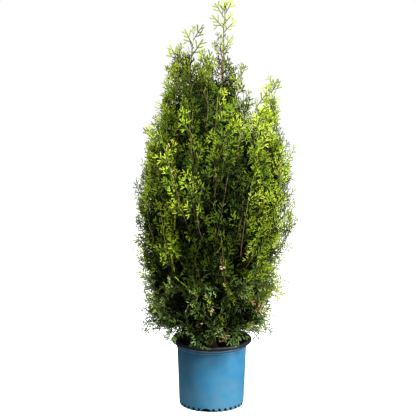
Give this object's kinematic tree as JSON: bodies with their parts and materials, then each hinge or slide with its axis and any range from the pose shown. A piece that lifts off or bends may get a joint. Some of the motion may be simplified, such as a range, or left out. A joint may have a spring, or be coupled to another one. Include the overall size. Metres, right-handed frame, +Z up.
{
  "type": "potted arborvitae",
  "caption": "young upright evergreen with flat scale-leaved sprays on several ascending limbs, growing in a round plastic nursery pot with a rolled lip and drainage notches",
  "frame": {"origin": "centre of the pot's flat underside, on the surface it stands on", "axes": "+Z up along the trunk, +X to the viewer's right, -Y towards the viewer of the picture"},
  "size_m": [0.4801, 0.4894, 1.1994],
  "materials": {
    "pot_plastic": "moulded blue plastic, black on the rolled lip and inside",
    "potting_mix": "dark crumbly bark and peat mix",
    "bark": "thin fibrous red-brown bark",
    "foliage": "flat forked sprays of scale leaves, light green at the tips"
  },
  "bodies": {
    "root": {"bough_1_1": "bark", "bough_1_2": "bark", "bough_2_1": "bark", "bough_2_2": "bark", "bough_3_1": "bark", "bough_3_2": "bark", "bough_4_1": "bark", "bough_4_2": "bark", "bough_5_1": "bark", "bough_5_2": "bark", "bough_6_1": "bark", "bough_6_2": "bark", "leader_side_1": "foliage", "leader_side_2": "foliage", "leader_side_3": "foliage", "leader_tip": "foliage", "limb_back_left": "bark", "limb_back_right": "bark", "limb_front_left": "bark", "limb_front_right": "bark", "limb_left": "bark", "limb_right": "bark", "pot": "pot_plastic", "potting_mix": "potting_mix", "spire_back_left": "foliage", "spire_back_right": "foliage", "spire_front_left": "foliage", "spire_front_right": "foliage", "spire_left": "foliage", "spire_right": "foliage", "tier_1_1": "foliage", "tier_1_2": "foliage", "tier_1_3": "foliage", "tier_1_4": "foliage", "tier_1_5": "foliage", "tier_2_1": "foliage", "tier_2_2": "foliage", "tier_2_3": "foliage", "tier_2_4": "foliage", "tier_3_1": "foliage", "tier_3_2": "foliage", "tier_3_3": "foliage", "tier_3_4": "foliage", "tier_3_5": "foliage", "tier_4_1": "foliage", "tier_4_2": "foliage", "tier_4_3": "foliage", "tier_4_4": "foliage", "tier_5_1": "foliage", "tier_5_2": "foliage", "tier_5_3": "foliage", "tier_5_4": "foliage", "tier_5_5": "foliage", "tier_6_1": "foliage", "tier_6_2": "foliage", "tier_6_3": "foliage", "tier_6_4": "foliage", "trunk": "bark"}
  },
  "joints": []
}
